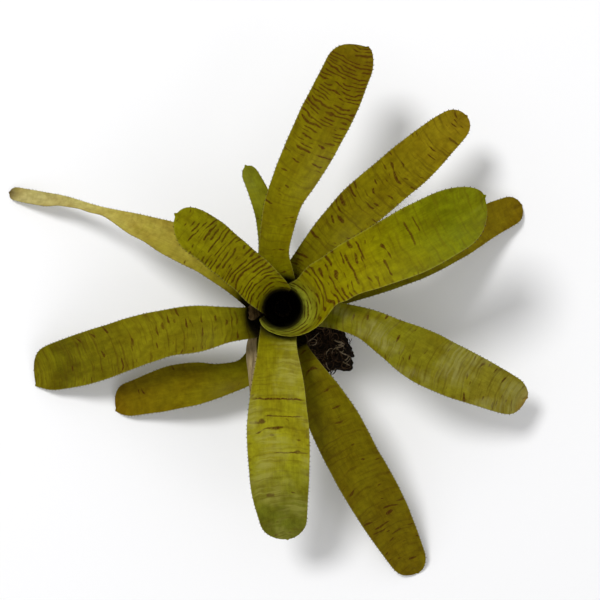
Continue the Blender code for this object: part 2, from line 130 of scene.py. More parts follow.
# One entry for each leaf. order: its place in the rosette, from the inside. azimuth: where its sheath
# faces. wrap: the angle that the sheath covers. turn: how far the wrap is turned about the tube.
# top: the height at which the sheath ends. lean and slant: how far the tip leans and skews.
# blade: rows of radius, azimuth, height, width, channel angle and roll, and on some leaves also the
# turn and how level the section still is.
LEAVES = {
    "leaf_upper_left_inner": dict(
        order=0, azimuth=134, wrap=140, turn=0, top=117, lean=0.1, slant=-4,
        blade=[(17, 134, 127, 29, 130, 0, -8, 0.8), (25, 134, 138, 32, 112, 0, -6, 0.4),
               (43, 134, 153, 32, 92, 0), (63, 135.8, 172, 32, 82, 0), (82, 137.2, 189, 32, 76, 0),
               (102.3, 137.6, 201, 30, 70, 0)]),
    "leaf_right_inner": dict(
        order=1, azimuth=20, wrap=230, turn=-64, top=106, lean=0.45, slant=3,
        blade=[(18.5, 21, 114.5, 35.5, 222, 0, -62, 1), (23, 23.5, 120.5, 44.2, 196, 0, -54, 0.95),
               (27.5, 26, 127, 46.4, 150, 0, -36, 0.7), (35.5, 28, 133.5, 38, 94, 0, -5, 0.35),
               (50, 29.2, 142, 38, 64, 0), (77, 28.1, 152, 43.5, 44, 0), (111, 27.2, 161, 49.5, 38, 0),
               (144, 27.3, 166, 47, 40, 0), (172.5, 27.0, 171, 42, 46, 0)]),
    "leaf_bottom": dict(
        order=2, azimuth=-96, wrap=124, turn=0, top=104, lean=0.15, slant=0,
        blade=[(26, -97, 119, 28.5, 70, 0), (36, -95, 125, 31, 54, 0), (47, -93.5, 129, 35.5, 44, 0),
               (89, -91.8, 129, 47, 34, 0), (117, -91, 120, 47, 32, 0), (141, -90.6, 107, 44, 30, 0),
               (165, -89.7, 91, 37.5, 30, 0), (185, -89.1, 76, 32, 34, 0)]),
    "leaf_top": dict(
        order=3.5, azimuth=99, wrap=104, turn=0, top=100, lean=-0.75, slant=-1,
        blade=[(27, 99, 119, 27, 80, 0), (44, 97.5, 130, 23, 58, 0), (63, 92.5, 137, 25, 48, 0),
               (82, 88.5, 141, 28, 42, 0), (101, 83.6, 142, 33, 38, 0), (121, 80, 142, 37, 34, 0),
               (142, 77.6, 138, 39, 32, 0), (163, 75.8, 132, 39, 30, 0), (185, 74.7, 124, 37, 30, 0),
               (214, 73.6, 111, 34, 34, 0)]),
    "leaf_lower_right": dict(
        order=4, azimuth=-5, wrap=96, turn=0, top=90, lean=0.5, slant=0,
        blade=[(27, -5, 106, 24, 70, 0), (47, -8.2, 116, 21, 46, 0), (65, -10.6, 117, 24, 38, 0),
               (88, -15.5, 112, 32.5, 32, 0), (113, -18.7, 103, 41, 28, 0), (140, -20.2, 90, 41, 24, 0),
               (169, -20.7, 73, 37, 24, 0), (193, -21.1, 56, 32, 28, 0), (213, -21.2, 42, 26, 34, 0)]),
    "leaf_upper_right": dict(
        order=5, azimuth=61, wrap=92, turn=0, top=88, lean=-0.05, slant=0,
        blade=[(29, 61, 104, 27, 66, 0), (41, 60, 112, 25, 52, 0), (62, 57, 119, 28, 42, 0),
               (94, 52.8, 120, 35, 34, 0), (124, 49.9, 115, 36, 30, 0), (156, 48, 104, 35.5, 28, 0),
               (187, 47.1, 90, 29.5, 28, 0), (212.5, 46.2, 76, 21, 34, 0)]),
    "leaf_dry": dict(
        order=6, azimuth=153, wrap=80, turn=0, top=78, lean=0, slant=0,
        blade=[(37, 150, 99, 22, 60, 0), (54, 147.3, 103, 23.5, 50, 2), (72, 145.8, 104, 28.5, 46, 4),
               (102, 148.3, 97, 27, 46, 10), (120, 149.7, 89, 22, 50, 16), (138, 150.8, 79, 17, 56, 22),
               (153, 151.4, 69, 11, 62, 26), (167, 152.2, 59, 8, 60, 30), (202, 154.4, 33, 10, 44, 18),
               (221, 155.9, 19, 12, 40, 10), (250, 157.3, 1.6, 11, 36, 4)]),
    "leaf_left": dict(
        order=7, azimuth=203, wrap=84, turn=0, top=68, lean=1.1, slant=0,
        blade=[(33, 202, 84, 25, 60, 0), (45, 197, 90, 28, 48, 0), (67, 193.9, 90, 36, 38, 0),
               (91, 192.3, 82, 37, 32, 0), (117, 192.8, 70, 39.5, 28, 0), (143, 193.9, 54, 41.5, 24, 0),
               (171, 194.5, 35, 42, 22, 0), (194, 194.6, 18, 38.5, 22, 0), (218, 194.8, 2.4, 33, 24, 0)]),
    "leaf_right_lower": dict(
        order=8, azimuth=18, wrap=80, turn=0, top=62, lean=0.1, slant=0,
        blade=[(36, 18, 79, 27, 56, 0), (50, 19, 87, 27, 46, 0), (75, 19.5, 88, 30, 38, 0),
               (109, 20.1, 77, 33, 32, 0), (146, 21.4, 55, 32, 28, 0), (187, 22.9, 24, 27, 26, 0),
               (218.5, 23.1, 1.9, 22, 24, 0)]),
    "leaf_bottom_right": dict(
        order=9, azimuth=-71, wrap=58, turn=-9, top=60, lean=0.3, slant=0,
        blade=[(37, -73, 80, 21, 52, 0), (52, -70.6, 91, 27.5, 44, 0), (87, -66, 92, 38, 34, 0),
               (138, -64.8, 72, 42, 28, 0), (173, -64.0, 52, 42, 26, 0), (206, -63.7, 30, 37, 24, 0),
               (250.5, -63.5, 1.9, 25, 24, 0)]),
    "leaf_small": dict(
        order=10, azimuth=102, wrap=70, turn=0, top=62, lean=0.2, slant=0,
        blade=[(38, 102, 82, 24, 56, 0), (52, 99.4, 92, 20, 46, 0), (70, 99, 97, 18.5, 42, -6),
               (88, 100.8, 98, 16.5, 44, -12), (116, 104.3, 94, 12, 50, -18)]),
    "leaf_lower_left": dict(
        order=11, azimuth=-108, wrap=64, turn=0, top=24, lean=0.9, slant=0,
        blade=[(40, -113, 36, 24, 48, 0), (60, -120, 43, 22, 42, 0), (78, -130.9, 44, 27, 36, 0),
               (91, -137.8, 41, 34, 32, 0), (106, -142.8, 35, 36, 28, 0), (122, -145.8, 27, 34.5, 26, 0),
               (140, -148.1, 16, 30, 24, 0), (164, -150.5, 2.1, 25, 24, 0)]),
}


def clamp(value, low=0.0, high=1.0):
    return min(max(value, low), high)


def stem_radius(z):
    share = clamp((z - STEM_BOTTOM) / (BASE_TOP + STEM_OVERLAP - STEM_BOTTOM))
    return STEM_RADIUS_LOW + (STEM_RADIUS_TOP - STEM_RADIUS_LOW) * share


def polar(radius, azimuth, z):
    angle = math.radians(azimuth)
    return Vector((radius * math.cos(angle), radius * math.sin(angle), z))


def leaf_stations(leaf):
    """Rows of place, width round the curve, channel angle, turn, roll and level from foot to tip."""
    order = leaf["order"]
    wrap = leaf["wrap"]
    radius = TUBE_RADIUS + SHEATH_STEP * order
    foot = BASE_TOP - BASE_STEP * order
    foot_radius = stem_radius(foot) + BASE_CLEARANCE
    rows = []
    for share in (0.0, 0.18, 0.45, 1.0):
        z = foot + BASE_FLARE * share
        r = foot_radius + (radius - foot_radius) * math.sin(0.5 * math.pi * share)
        if z < leaf["top"]:
            arc = math.radians(wrap) * r
            rows.append((polar(r, leaf["azimuth"], z), arc, wrap, leaf["turn"], 0.0, 1.0))
    rise = leaf["top"] - foot - BASE_FLARE
    if rise > LEAST_RISE:
        for share in (0.5, 1.0):
            z = foot + BASE_FLARE + rise * share
            closed = wrap - WRAP_LOSS * share
            arc = math.radians(closed) * radius
            rows.append((polar(radius, leaf["azimuth"], z), arc, closed, leaf["turn"], 0.0, 1.0))
    for r, azimuth, z, width, channel, roll, *exit_values in leaf["blade"]:
        half = math.radians(channel) / 2.0
        arc = width * half / math.sin(half)
        turn, level = exit_values or (0.0, 0.0)
        rows.append((polar(r, azimuth, z), arc, channel, turn, roll, level))
    return rows


def hermite(knots, values, x):
    """A smooth curve through the values at the knots, which need not be evenly spaced."""
    i = int(np.searchsorted(knots, x, side="right")) - 1
    i = clamp(i, 0, len(knots) - 2)
    h = knots[i + 1] - knots[i]
    u = (x - knots[i]) / h

    def slope(j):
        if j == 0:
            return (values[1] - values[0]) / (knots[1] - knots[0])
        if j == len(knots) - 1:
            return (values[-1] - values[-2]) / (knots[-1] - knots[-2])
        h0 = knots[j] - knots[j - 1]
        h1 = knots[j + 1] - knots[j]
        d0 = (values[j] - values[j - 1]) / h0
        d1 = (values[j + 1] - values[j]) / h1
        return (d0 * h1 + d1 * h0) / (h0 + h1)

    a = values[i]
    b = values[i + 1]
    m0 = slope(i) * h
    m1 = slope(i + 1) * h
    return ((2 * u**3 - 3 * u**2 + 1) * a + (u**3 - 2 * u**2 + u) * m0
            + (3 * u**2 - 2 * u**3) * b + (u**3 - u**2) * m1)


class LeafShape:
    """Spine, outline and section of one leaf, by the distance along it from its foot."""

    def __init__(self, leaf):
        rows = leaf_stations(leaf)
        knots = [0.0]
        for (a, *_), (b, *_) in zip(rows, rows[1:]):
            knots.append(knots[-1] + (b - a).length)
        self.knots = np.array(knots)
        self.places = np.array([tuple(row[0]) for row in rows])
        self.extras = np.array([row[1:] for row in rows])
        self.length = knots[-1]
        self.lean = leaf["lean"]
        self.slant = leaf["slant"]
        self.rounding = max(TIP_ROUND * rows[-1][1], TIP_ROUND_LEAST)
        self.start = knots[len(knots) - len(leaf["blade"])]

    def spine(self, x):
        return Vector(hermite(self.knots, self.places, x))

    def outline(self, x, width):
        left = self.length - x
        body = min(max(left - MUCRO_LENGTH, 0.0) / self.rounding, 1.0)
        end = width * (1.0 - (1.0 - body) ** TIP_POWER) ** 0.5
        point = MUCRO_WIDTH + (MUCRO_ROOT - MUCRO_WIDTH) * min(left / (MUCRO_LENGTH * MUCRO_TAPER), 1.0)
        return max(end, point)

    def frame(self, x):
        a = self.spine(max(x - FRAME_STEP, 0.0))
        b = self.spine(min(x + FRAME_STEP, self.length))
        place = self.spine(x)
        along = (b - a).normalized()
        out = Vector((place.x, place.y, 0.0)).normalized()
        heading = Vector((along.x, along.y, 0.0)) + OUTWARD_PULL * out
        side = UP.cross(heading).normalized()
        side = (side - side.dot(along) * along).normalized()
        up = along.cross(side)
        width, channel, turn, roll, level = hermite(self.knots, self.extras, x)
        level = clamp(level)
        angle = math.radians(roll)
        rolled = side * math.cos(angle) + up * math.sin(angle)
        raised = up * math.cos(angle) - side * math.sin(angle)
        raised = (raised * (1.0 - level) - out * level).normalized()
        return place, along, rolled, raised, width, math.radians(channel), math.radians(turn)


# ------------------------------------------------------------------ shader helper
class Skin:
    """A material whose shader nodes are added by name and joined as they are added."""

    def __init__(self, name):
        self.material = bpy.data.materials.new(name)
        self.material.use_nodes = True
        self.tree = self.material.node_tree
        self.shader = self.tree.nodes["Principled BSDF"]

    def feed(self, socket, value):
        if isinstance(value, bpy.types.NodeSocket):
            self.tree.links.new(value, socket)
        else:
            socket.default_value = value

    def math(self, operation, *values, clamp=False):
        node = self.tree.nodes.new("ShaderNodeMath")
        node.operation = operation
        node.use_clamp = clamp
        for socket, value in zip(node.inputs, values):
            self.feed(socket, value)
        return node.outputs[0]

    def span(self, value, low, high, to_low=0.0, to_high=1.0):
        """The value carried smoothly from one range to another, and held beyond its ends."""
        node = self.tree.nodes.new("ShaderNodeMapRange")
        node.interpolation_type = "SMOOTHSTEP"
        self.feed(node.inputs["Value"], value)
        ends = {"From Min": low, "From Max": high, "To Min": to_low, "To Max": to_high}
        for key, item in ends.items():
            self.feed(node.inputs[key], item)
        return node.outputs["Result"]

    def vector(self, x, y, z):
        node = self.tree.nodes.new("ShaderNodeCombineXYZ")
        for socket, value in zip(node.inputs, (x, y, z)):
            self.feed(socket, value)
        return node.outputs[0]

    def noise(self, vector, scale, detail, rough):
        node = self.tree.nodes.new("ShaderNodeTexNoise")
        self.feed(node.inputs["Vector"], vector)
        node.inputs["Scale"].default_value = scale
        node.inputs["Detail"].default_value = detail
        node.inputs["Roughness"].default_value = rough
        return node.outputs["Fac"]

    def cells(self, vector, scale):
        node = self.tree.nodes.new("ShaderNodeTexVoronoi")
        self.feed(node.inputs["Vector"], vector)
        node.inputs["Scale"].default_value = scale
        return node.outputs["Distance"]

    def ramp(self, value, stops):
        """A colour, or a grey where a stop holds one number, for a value from 0 to 1."""
        node = self.tree.nodes.new("ShaderNodeValToRGB")
        items = node.color_ramp.elements
        while len(items) < len(stops):
            items.new(0.5)
        for item, (place, colour) in zip(items, stops):
            item.position = place
            if not isinstance(colour, tuple):
                colour = (colour, colour, colour)
            item.color = (*colour, 1.0)
        self.feed(node.inputs["Fac"], value)
        return node.outputs["Color"]

    def mix(self, share, a, b, blend="MIX"):
        node = self.tree.nodes.new("ShaderNodeMix")
        node.data_type = "RGBA"
        node.blend_type = blend
        self.feed(node.inputs[0], share)
        for socket, value in ((node.inputs[6], a), (node.inputs[7], b)):
            if isinstance(value, tuple):
                value = (*value, 1.0)
            self.feed(socket, value)
        return node.outputs[2]

    def uv(self, layer):
        node = self.tree.nodes.new("ShaderNodeUVMap")
        node.uv_map = layer
        split = self.tree.nodes.new("ShaderNodeSeparateXYZ")
        self.tree.links.new(node.outputs[0], split.inputs[0])
        return split.outputs[0], split.outputs[1]

    def field(self, across, along, scale, seed, detail=2.0, rough=0.5):
        """Noise over the two lengths, each times its own scale, in the slice that the seed picks."""
        flat = [self.math("MULTIPLY", value, factor) for value, factor in zip((across, along), scale)]
        return self.noise(self.vector(*flat, seed), 1.0, detail, rough)

    def bump(self, height, strength, distance):
        node = self.tree.nodes.new("ShaderNodeBump")
        node.inputs["Strength"].default_value = strength
        node.inputs["Distance"].default_value = distance
        self.feed(node.inputs["Height"], height)
        self.tree.links.new(node.outputs[0], self.shader.inputs["Normal"])


# Colours and strengths that every leaf shares
BAND = (0.058, 0.016, 0.002)
MOTTLE = (0.10, 0.075, 0.002)
MARGIN = (0.25, 0.24, 0.035)
# Pale film of scales, which is also a painted sheen
FILM_AND_SHEEN = (0.31, 0.30, 0.006)
# Painted shade for the inside of the tube
PAINTED_SHADE = (0.006, 0.004, 0.003)
FAINT_BAND = tuple(0.55 * c + 0.45 * m for c, m in zip(BAND, MOTTLE))
BAND_STRENGTH = 0.92
FLECK_STRENGTH = 0.5
EDGE_SPOT_STRENGTH = 0.4
LEAF_GLOSS = 0.02
DRY_GLOSS = 0.08

# How the bands run: their waviness, lag at the margins, drift and raggedness, then the half widths of
# a dash from none to full, and how fast its edge fades
BAND_WARP = 0.55
BAND_ARCH = -0.25
BAND_DRIFT = 2.6
BAND_RAG = 0.10
DASH_WIDTHS = (-0.07, 0.265)
DASH_EDGE = 8.0

# The gate that a dash's noise has to pass: its height and width, and what density and presence take off
GATE_HEIGHT = 0.84
GATE_WIDTH = 0.17
GATE_DENSITY = -0.30
GATE_PRESENCE = -0.36
GATE_SHIFT = -0.02


def leaf_skin(name, tones, density, seed, frequency=2.1, faint=0.35, scurf_and_sheen=0.25, bars=(),
              film_and_sheen_colour=FILM_AND_SHEEN, painted_shade_strength=0.95):
    """Skin of one leaf. Lengths across and along the leaf come in centimetres from its first UV map;
    the second holds the share across (0 to 1) and along (0 at the tube to 1 at the tip)."""
    s = Skin(name)
    across, along = s.uv("leaf_cm")
    unit, share = s.uv("leaf_unit")
    edge = s.math("ABSOLUTE", s.math("MULTIPLY_ADD", unit, 2.0, -1.0))

    # Ground colour with broad blotches, cloudy mottling and veins
    colour = s.ramp(share, tones)
    blotch = s.field(across, along, (0.7, 0.35), seed, 3.0, 0.6)
    cloud = s.field(across, along, (2.1, 1.3), seed + 4.0, 5.0, 0.65)
    veins = s.field(across, along, (13.0, 0.22), seed + 2.0, 2.0, 0.6)
    for value, stops in ((blotch, [(0.40, (1.0, 1.0, 1.0)), (0.72, (0.80, 0.72, 0.6))]),
                         (cloud, [(0.36, (1.23, 1.27, 1.04)), (0.64, (0.86, 0.86, 0.66))]),
                         (veins, [(0.3, (0.92, 0.91, 0.9)), (0.7, (1.05, 1.05, 1.05))])):
        colour = s.mix(1.0, colour, s.ramp(value, stops), "MULTIPLY")

    # Dark bands: each whole number of the phase is one band, which noise cuts into dashes
    warp = s.field(across, along, (0.9, 0.9), seed + 5.0)
    bent = s.math("MULTIPLY_ADD", warp, BAND_WARP, along)
    bent = s.math("MULTIPLY_ADD", s.math("MULTIPLY", edge, edge), BAND_ARCH, bent)
    ragged = s.field(across, along, (9.0, 3.0), seed + 7.0, 2.0, 0.6)
    presence = s.field(across, along, (0.6, 0.5), seed + 3.0, 1.0)
    drift = s.field(across, along, (0.45, 0.5), seed + 9.0, 1.0)
    phase = s.math("MULTIPLY_ADD", bent, frequency, s.math("MULTIPLY", drift, BAND_DRIFT))
    number = s.math("FLOOR", phase)
    off = s.math("ABSOLUTE", s.math("SUBTRACT", s.math("SUBTRACT", phase, number), 0.5))
    off = s.math("MULTIPLY_ADD", s.math("SUBTRACT", ragged, 0.5), BAND_RAG, off)
    dash = s.field(across, number, (0.85, 3.7), seed + 13.0, 1.5)
    gate = s.math("MULTIPLY_ADD", s.ramp(share, density), GATE_DENSITY, GATE_HEIGHT)
    gate = s.math("MULTIPLY_ADD", presence, GATE_PRESENCE, s.math("ADD", gate, GATE_SHIFT))
    reach = s.span(dash, gate, s.math("ADD", gate, GATE_WIDTH), *DASH_WIDTHS)
    marks = s.math("MULTIPLY", s.math("SUBTRACT", reach, off), DASH_EDGE, clamp=True)
    marks = s.math("MULTIPLY", marks, s.span(ragged, 0.25, 0.62, 0.55, 1.0))

    # Faint bands under the dark ones
    wide = s.field(across, bent, (0.25, frequency * 1.7), seed + 21.0, 3.0, 0.6)
    colour = s.mix(s.span(wide, 0.50, 0.66, 0.0, faint), colour, FAINT_BAND)

    # Named bars: centimetres along, share across, half length as a share, half thickness and strength
    for place, centre, reach, thick, power in bars:
        wavy = s.math("MULTIPLY_ADD", s.math("SUBTRACT", ragged, 0.5), 0.10, along)
        wavy = s.math("MULTIPLY_ADD", s.math("SUBTRACT", warp, 0.5), 0.35, wavy)
        near = s.math("ABSOLUTE", s.math("SUBTRACT", wavy, place))
        inside = s.math("ABSOLUTE", s.math("SUBTRACT", unit, centre))
        bar = s.math("MULTIPLY", s.span(near, thick, thick * 0.35), s.span(inside, reach, reach * 0.75))
        bar = s.math("MULTIPLY", bar, s.span(ragged, 0.25, 0.55, 0.45, 1.0))
        marks = s.math("MAXIMUM", marks, s.math("MULTIPLY", bar, power))
    colour = s.mix(s.math("MULTIPLY", marks, BAND_STRENGTH), colour, BAND)

    # Small flecks, and spots along the margins
    distance = s.cells(s.vector(across, along, seed), 2.6)
    speck = s.math("MULTIPLY", s.span(distance, 0.10, 0.04), s.span(presence, 0.48, 0.56))
    colour = s.mix(s.math("MULTIPLY", speck, FLECK_STRENGTH), colour, BAND)
    rim = s.field(across, along, (1.0, 2.2), seed + 31.0, 1.0)
    spots = s.math("MULTIPLY", s.span(edge, 0.80, 0.97), s.span(rim, 0.58, 0.64))
    colour = s.mix(s.math("MULTIPLY", spots, EDGE_SPOT_STRENGTH), colour, BAND)

    # Pale film of scales that is partly a painted sheen, then the lighter margin
    scale = s.field(across, bent, (0.35, 3.4), seed + 41.0, 2.0, 0.6)
    patch = s.field(across, along, (0.45, 0.28), seed + 43.0)
    film_and_sheen = s.math("MULTIPLY", s.span(patch, 0.42, 0.66), s.span(scale, 0.38, 0.62, 0.25, 1.0))
    colour = s.mix(s.math("MULTIPLY", film_and_sheen, scurf_and_sheen), colour, film_and_sheen_colour)
    colour = s.mix(s.span(edge, 0.955, 0.985, 0.0, 0.35), colour, MARGIN)

    # Painted shade down the tube, stronger the deeper the leaf runs into it
    painted_tube_shade = s.span(along, 0.35, -0.9)
    colour = s.mix(s.math("MULTIPLY", painted_tube_shade, painted_shade_strength), colour, PAINTED_SHADE)
    s.feed(s.shader.inputs["Base Color"], colour)
    s.feed(s.shader.inputs["Roughness"], s.math("MULTIPLY_ADD", film_and_sheen, 0.2, 0.40))
    s.shader.inputs["Specular IOR Level"].default_value = LEAF_GLOSS
    s.bump(s.math("MULTIPLY_ADD", veins, 1.0, s.math("MULTIPLY", scale, 0.3)), 0.35, 0.0003)
    return s.material


def plain_skin(name, colours, scale, stretch=(1.0, 1.0, 1.0), rough=0.8, bump=0.5):
    """A dry, fibrous or rooty surface from one stretched noise in object space."""
    s = Skin(name)
    where = s.tree.nodes.new("ShaderNodeTexCoord")
    turn = s.tree.nodes.new("ShaderNodeMapping")
    turn.inputs["Scale"].default_value = stretch
    s.tree.links.new(where.outputs["Object"], turn.inputs["Vector"])
    grain = s.noise(turn.outputs[0], scale, 4.0, 0.6)
    stops = [(0.25 + 0.5 * i / (len(colours) - 1), colour) for i, colour in enumerate(colours)]
    s.feed(s.shader.inputs["Base Color"], s.ramp(grain, stops))
    s.shader.inputs["Roughness"].default_value = rough
    s.shader.inputs["Specular IOR Level"].default_value = DRY_GLOSS
    s.bump(grain, bump, 0.0006)
    return s.material


# ------------------------------------------------------------------ mesh helpers
def sheet_faces(steps, columns):
    """Faces of a thin closed sheet whose rows hold the upper side and then the lower side, with the
    material of each: 1 for the lower side, 0 for the upper side and the edges."""
    low = columns + 1
    stride = 2 * low
    faces = []
    slots = []
    for i in range(steps):
        for c in range(columns):
            a = i * stride + c
            b = a + stride
            faces += [(a, b, b + 1, a + 1), (a + low, a + low + 1, b + low + 1, b + low)]
            slots += [0, 1]
        a = i * stride
        b = a + stride
        faces.append((a, a + low, b + low, b))
        faces.append((a + columns, b + columns, b + columns + low, a + columns + low))
        slots += [0, 0]
    end = steps * stride
    for c in range(columns):
        faces.append((c, c + 1, c + 1 + low, c + low))
        faces.append((end + c, end + c + low, end + c + 1 + low, end + c + 1))
        slots += [0, 0]
    return faces, slots


def ring_faces(rings, sides):
    """Faces of a closed tube of rings, with a flat end at each end."""
    faces = []
    for i in range(rings - 1):
        for k in range(sides):
            a = i * sides + k
            b = i * sides + (k + 1) % sides
            faces.append((a, b, b + sides, a + sides))
    end = (rings - 1) * sides
    faces.append(tuple(reversed(range(sides))))
    faces.append(tuple(range(end, end + sides)))
    return faces


def add_piece(name, verts, faces, materials, slots, node, layers=None):
    """Add one visible piece in place of a node of the part, held inside the part's own bounds."""
    inside = np.clip(np.array(verts, dtype=float), cad_box[0], cad_box[1])
    mesh = bpy.data.meshes.new(name)
    mesh.from_pydata(inside.tolist(), [], faces)
    for material in materials:
        mesh.materials.append(material)
    mesh.polygons.foreach_set("material_index", slots)
    if layers:
        loops = np.zeros(len(mesh.loops), np.int32)
        mesh.loops.foreach_get("vertex_index", loops)
        for layer, values in layers.items():
            uv = mesh.uv_layers.new(name=layer)
            uv.data.foreach_set("uv", np.asarray(values, np.float32)[loops].ravel())
    mesh.update()
    mesh.shade_smooth()
    mesh.set_sharp_from_angle(angle=math.radians(55))
    thing = bpy.data.objects.new(name, mesh)
    bpy.context.scene.collection.objects.link(thing)
    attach(thing, "root")
    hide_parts(node)


# ------------------------------------------------------------------ leaf building
def leaf_rows(shape):
    """Distances along the leaf at which its sheet has a row, closer together round the tip."""
    round_start = shape.length - MUCRO_LENGTH - shape.rounding
    rows = list(np.linspace(0.0, round_start, int(round_start / ROW_STEP)))
    for k in range(1, TIP_STEPS + 1):
        rows.append(round_start + shape.rounding * math.sin(0.5 * math.pi * k / TIP_STEPS))
    return rows + [shape.length - MUCRO_LENGTH * 0.5, shape.length]


def leaf_teeth(shape, line, flag, draw):
    """Corners and places of the teeth on one margin, five corners a tooth."""
    corners = []
    places = []
    known = np.array([item[0] for item in line])
    x = shape.start - TEETH_BEFORE + draw.uniform(0.0, 3.0)
    while x < shape.length - MUCRO_LENGTH - TEETH_LEFT:
        i = int(np.searchsorted(known, x)) - 1
        i = clamp(i, 0, len(line) - 2)
        u = (x - known[i]) / (known[i + 1] - known[i])
        here = line[i][1] * (1 - u) + line[i + 1][1] * u
        ahead = line[i + 1][1] - line[i][1]
        ahead = ahead / np.linalg.norm(ahead)
        outward = line[i][2]
        outward = outward - np.dot(outward, ahead) * ahead
        outward = outward / max(np.linalg.norm(outward), 1e-6)
        normal = line[i][3]
        size = draw.uniform(*TOOTH_SIZES)
        root = here - outward * TOOTH_DEPTH
        corners += [root - ahead * TOOTH_BACK * size, root + normal * TOOTH_HALF,
                    root + ahead * TOOTH_FRONT * size, root - normal * TOOTH_HALF,
                    here + outward * (TOOTH_LENGTH * size) + ahead * (TOOTH_HOOK * size)]
        places.append((x - shape.start) * CM)
        x += TOOTH_PITCH * draw.uniform(*TOOTH_SPREAD)
    return corners, places


def build_leaf(name, leaf, top, under, tooth):
    """One leaf: a curved sheet with a thin margin, and teeth along both margins."""
    shape = LeafShape(leaf)
    draw = random.Random(sum(ord(c) for c in name))
    columns = WIDE_COLUMNS if leaf["wrap"] > WIDE_WRAP else COLUMNS
    rows = leaf_rows(shape)
    # Columns lie closer together towards the margins
    t = np.linspace(-1.0, 1.0, columns + 1)
    t = np.sign(t) * (1.0 - (1.0 - np.abs(t)) ** 1.25)
    verts = []
    cm = []
    unit = []
    phase = draw.uniform(0.0, 6.0)
    blade_length = shape.length - shape.start
    margins = {-1: [], 1: []}
    crease_depth, crease_width, crease_place, crease_length = CREASE
    for x in rows:
        place, along, side, up, width, channel, turn = shape.frame(x)
        rho = width / channel
        share = shape.outline(x, width) / width
        a = 0.5 * channel * (share * t + shape.lean * (1.0 - share) ** 1.5 * 0.6) + turn * share
        place = np.array(place)
        side = np.array(side)
        up = np.array(up)
        along = np.array(along)
        middle = place + np.outer(rho * np.sin(a), side) + np.outer(rho * (1.0 - np.cos(a)), up)
        left = shape.length - x
        tip = clamp((x - shape.length + TIP_SKEW_LENGTH) / TIP_SKEW_LENGTH)
        middle = middle + np.outer(shape.slant * t * tip * tip * share, along)
        normal = np.outer(np.cos(a), up) - np.outer(np.sin(a), side)
        across = np.outer(np.cos(a), side) + np.outer(np.sin(a), up)
        # Wavy margins on the blade, and the crease at its tip
        from_start = x - shape.start
        blade = clamp(from_start / WAVE_START)
        wave = sum(high * math.sin(from_start / long + turns * phase) for high, long, turns in WAVES)
        lift = blade * wave * np.abs(t) ** 4 * np.where(t > 0, 1.0, math.cos(phase))
        crease = math.exp(-((left - crease_place) / crease_length) ** 2)
        half_mm = 0.5 * shape.outline(x, width)
        lift = lift - crease_depth * crease * np.exp(-(t * half_mm / crease_width) ** 2)
        middle = middle + normal * lift[:, None]
        body = MARGIN_THICKNESS + MIDDLE_THICKNESS * (1.0 - np.abs(t) ** 3)
        thick = 0.5 * body * min(TIP_THINNING[0] + left / TIP_THINNING[1], 1.0)
        blade_share = clamp(from_start / blade_length)
        for face in (1.0, -1.0):
            verts.append(middle + normal * (thick * face)[:, None])
            cm.append(np.stack([t * half_mm * CM, np.full(t.shape, from_start * CM)], axis=1))
            unit.append(np.stack([0.5 + 0.5 * t, np.full(t.shape, blade_share)], axis=1))
        for flag, index in ((-1, 0), (1, columns)):
            margins[flag].append((x, middle[index], flag * across[index], normal[index]))
    verts = list(np.concatenate(verts) * MM)
    cm = list(np.concatenate(cm))
    unit = list(np.concatenate(unit))
    faces, slots = sheet_faces(len(rows) - 1, columns)
    for flag, line in margins.items():
        corners, places = leaf_teeth(shape, line, flag, draw)
        for n, place in enumerate(places):
            b = len(verts) + 5 * n
            ring = [b, b + 1, b + 2, b + 3]
            if flag < 0:
                ring.reverse()
            for j in range(4):
                faces.append((ring[j], ring[(j + 1) % 4], b + 4))
            faces.append(tuple(reversed(ring)))
            slots += [2] * 5
            cm += [(0.0, place)] * 5
            unit += [(0.5 + 0.5 * flag, 0.5)] * 5
        verts += [corner * MM for corner in corners]
    layers = {"leaf_cm": cm, "leaf_unit": unit}
    materials = [top, under, tooth]
    add_piece(name + "_fine", verts, faces, materials, slots, name, layers)


# Colour slots of the leaves that aren't plain green
tooth_skin = plain_skin("tooth_brown", [(0.03, 0.015, 0.008), (0.07, 0.035, 0.015)], 900.0,
                        rough=0.5, bump=0.0)
